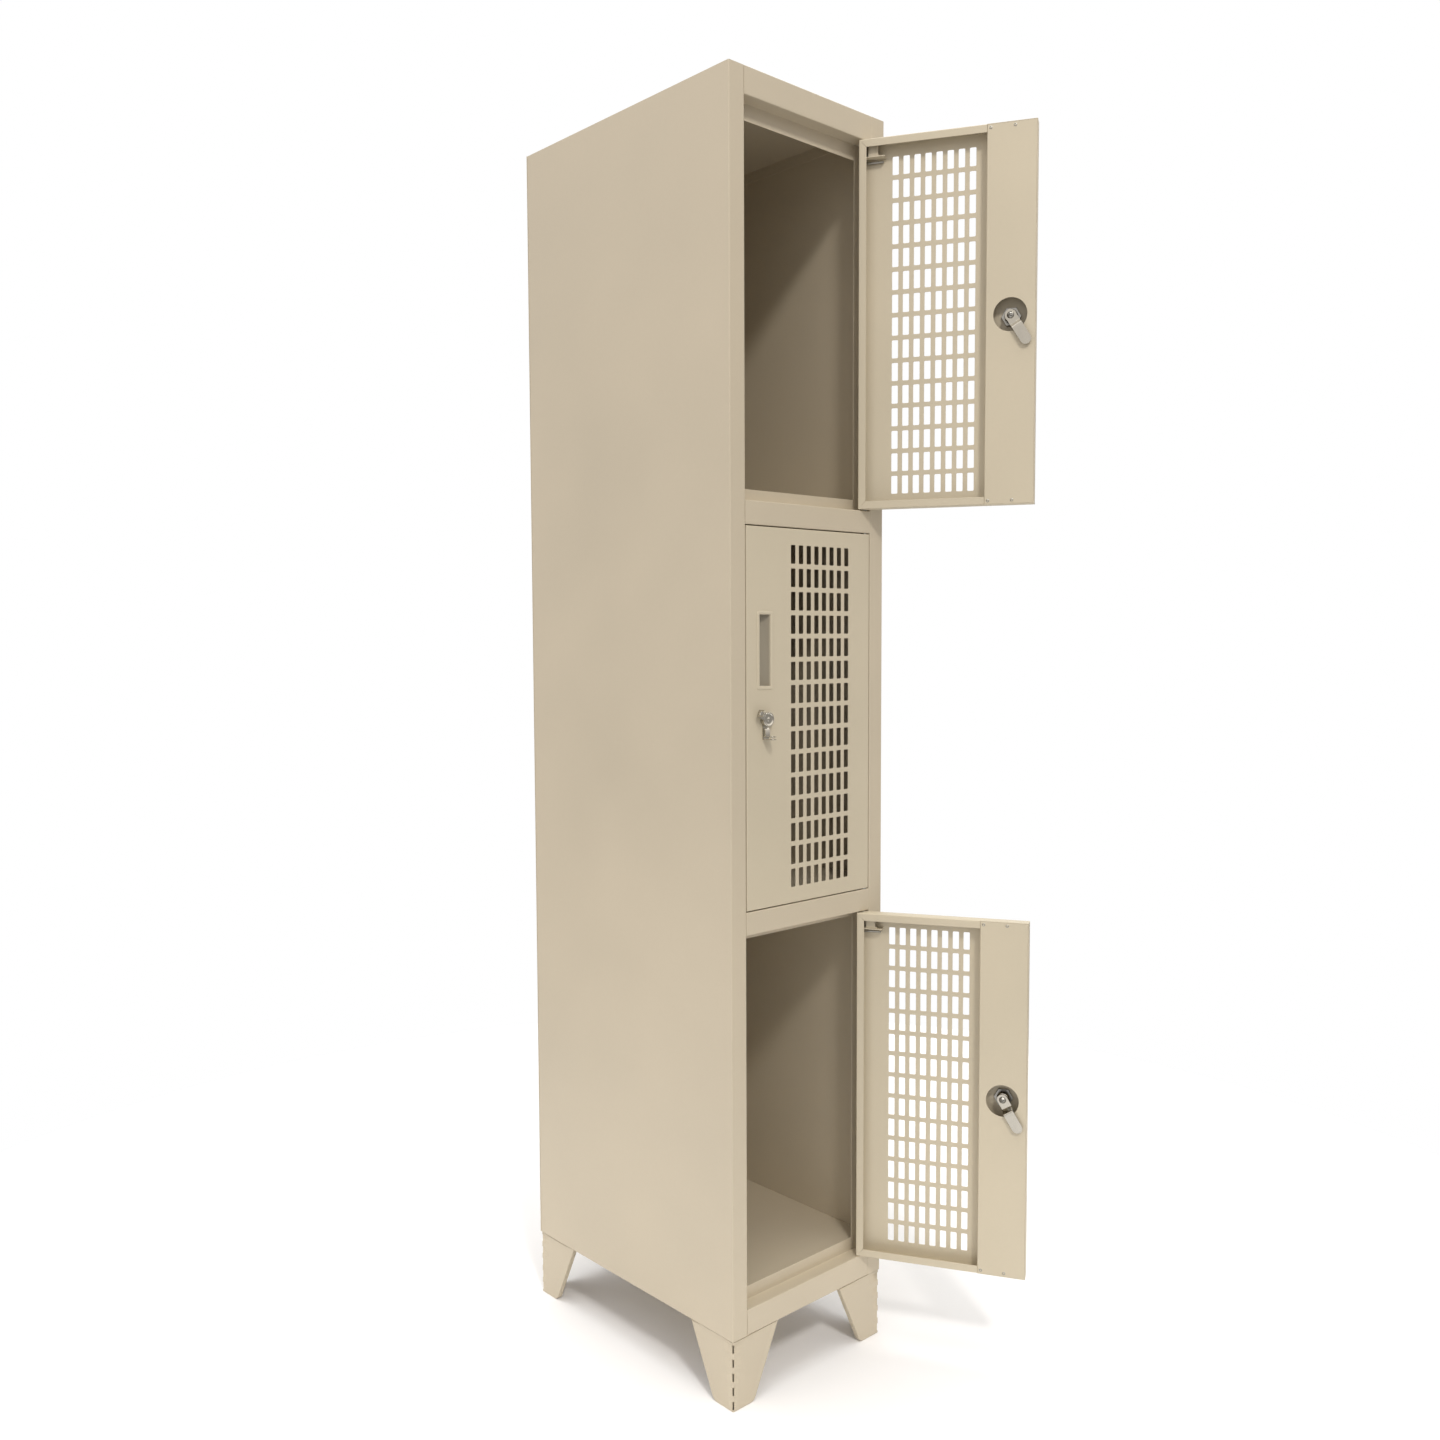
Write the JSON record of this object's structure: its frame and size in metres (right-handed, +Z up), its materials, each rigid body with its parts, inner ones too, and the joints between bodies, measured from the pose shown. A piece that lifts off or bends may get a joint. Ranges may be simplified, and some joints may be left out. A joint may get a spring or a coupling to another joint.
{
  "type": "school locker",
  "caption": "Tall narrow steel locker on four tapered legs, with stacked compartments behind perforated hinged doors, each with a recessed pull and a padlock latch.",
  "frame": {"origin": "on the floor, at the middle of the cabinet's footprint, without the open doors", "axes": "+Z up, -Y out of the front with its doors, +X to the right as seen from the front"},
  "size_m": [0.3925, 0.6701, 1.8],
  "materials": {
    "body_paint": "beige powder coat, satin, with a fine orange-peel texture",
    "door_paint": "beige powder coat, satin",
    "chrome": "bright nickel-chrome plate on die-cast zinc",
    "zinc": "zinc-plated steel"
  },
  "bodies": {
    "cabinet": {"left_side_panel": "body_paint", "right_side_panel": "body_paint", "back_panel": "body_paint", "top_panel": "body_paint", "bottom_panel": "body_paint", "upper_shelf": "body_paint", "lower_shelf": "body_paint", "upper_cross_rail": "body_paint", "lower_cross_rail": "body_paint", "bottom_sill": "body_paint", "leg_front_left": "body_paint", "leg_front_right": "body_paint", "leg_rear_left": "body_paint", "leg_rear_right": "body_paint", "leg_screws": "zinc", "back_screws": "zinc"},
    "door_top": {"door_skin_top": "door_paint", "lock_box_top": "door_paint", "box_rivets_top": "zinc", "pull_cup_top": "door_paint", "lock_body_top": "chrome", "lock_nut_top": "zinc", "pivot_bracket_top": "door_paint", "lower_pin_top": "zinc", "pin_spring_top": "zinc"},
    "latch_top": {"latch_knob_top": "chrome", "latch_cam_top": "chrome", "cam_screw_top": "zinc"},
    "pin_top": {"upper_pin_top": "zinc"},
    "door_middle": {"door_skin_middle": "door_paint", "lock_box_middle": "door_paint", "box_rivets_middle": "zinc", "pull_cup_middle": "door_paint", "lock_body_middle": "chrome", "lock_nut_middle": "zinc", "pivot_bracket_middle": "door_paint", "lower_pin_middle": "zinc", "pin_spring_middle": "zinc"},
    "latch_middle": {"latch_knob_middle": "chrome", "latch_cam_middle": "chrome", "cam_screw_middle": "zinc"},
    "pin_middle": {"upper_pin_middle": "zinc"},
    "door_bottom": {"door_skin_bottom": "door_paint", "lock_box_bottom": "door_paint", "box_rivets_bottom": "zinc", "pull_cup_bottom": "door_paint", "lock_body_bottom": "chrome", "lock_nut_bottom": "zinc", "pivot_bracket_bottom": "door_paint", "lower_pin_bottom": "zinc", "pin_spring_bottom": "zinc"},
    "latch_bottom": {"latch_knob_bottom": "chrome", "latch_cam_bottom": "chrome", "cam_screw_bottom": "zinc"},
    "pin_bottom": {"upper_pin_bottom": "zinc"}
  },
  "joints": [
    {"name": "door_top_hinge", "type": "hinge", "parent": "cabinet", "child": "door_top", "pos_m": [0.1172, -0.2243, 1.5025], "axis": [0, 0, 1], "range_deg": [-119.5, 0]},
    {"name": "latch_top_turn", "type": "hinge", "parent": "door_top", "child": "latch_top", "pos_m": [0.22239, -0.4017, 1.5025], "axis": [0.8704, 0.4924, 0], "range_deg": [-173.7, 31.3]},
    {"name": "pin_top_pull", "type": "slide", "parent": "door_top", "child": "pin_top", "axis": [0, 0, -1], "range_m": [0, 0.008], "stiffness_N_per_m": 300, "springref_m": -0.005, "deforming": ["pin_spring_top"]},
    {"name": "door_middle_hinge", "type": "hinge", "parent": "cabinet", "child": "door_middle", "pos_m": [0.1172, -0.2243, 0.9495], "axis": [0, 0, 1], "range_deg": [0, 119.5]},
    {"name": "latch_middle_turn", "type": "hinge", "parent": "door_middle", "child": "latch_middle", "pos_m": [-0.089, -0.2285, 0.9495], "axis": [0, -1, 0], "range_deg": [0, 205]},
    {"name": "pin_middle_pull", "type": "slide", "parent": "door_middle", "child": "pin_middle", "axis": [0, 0, -1], "range_m": [0, 0.008], "stiffness_N_per_m": 300, "springref_m": -0.005, "deforming": ["pin_spring_middle"]},
    {"name": "door_bottom_hinge", "type": "hinge", "parent": "cabinet", "child": "door_bottom", "pos_m": [0.1172, -0.2243, 0.3965], "axis": [0, 0, 1], "range_deg": [-119.5, 0]},
    {"name": "latch_bottom_turn", "type": "hinge", "parent": "door_bottom", "child": "latch_bottom", "pos_m": [0.22239, -0.4017, 0.3965], "axis": [0.8704, 0.4924, 0], "range_deg": [-173.7, 31.3]},
    {"name": "pin_bottom_pull", "type": "slide", "parent": "door_bottom", "child": "pin_bottom", "axis": [0, 0, -1], "range_m": [0, 0.008], "stiffness_N_per_m": 300, "springref_m": -0.005, "deforming": ["pin_spring_bottom"]}
  ]
}
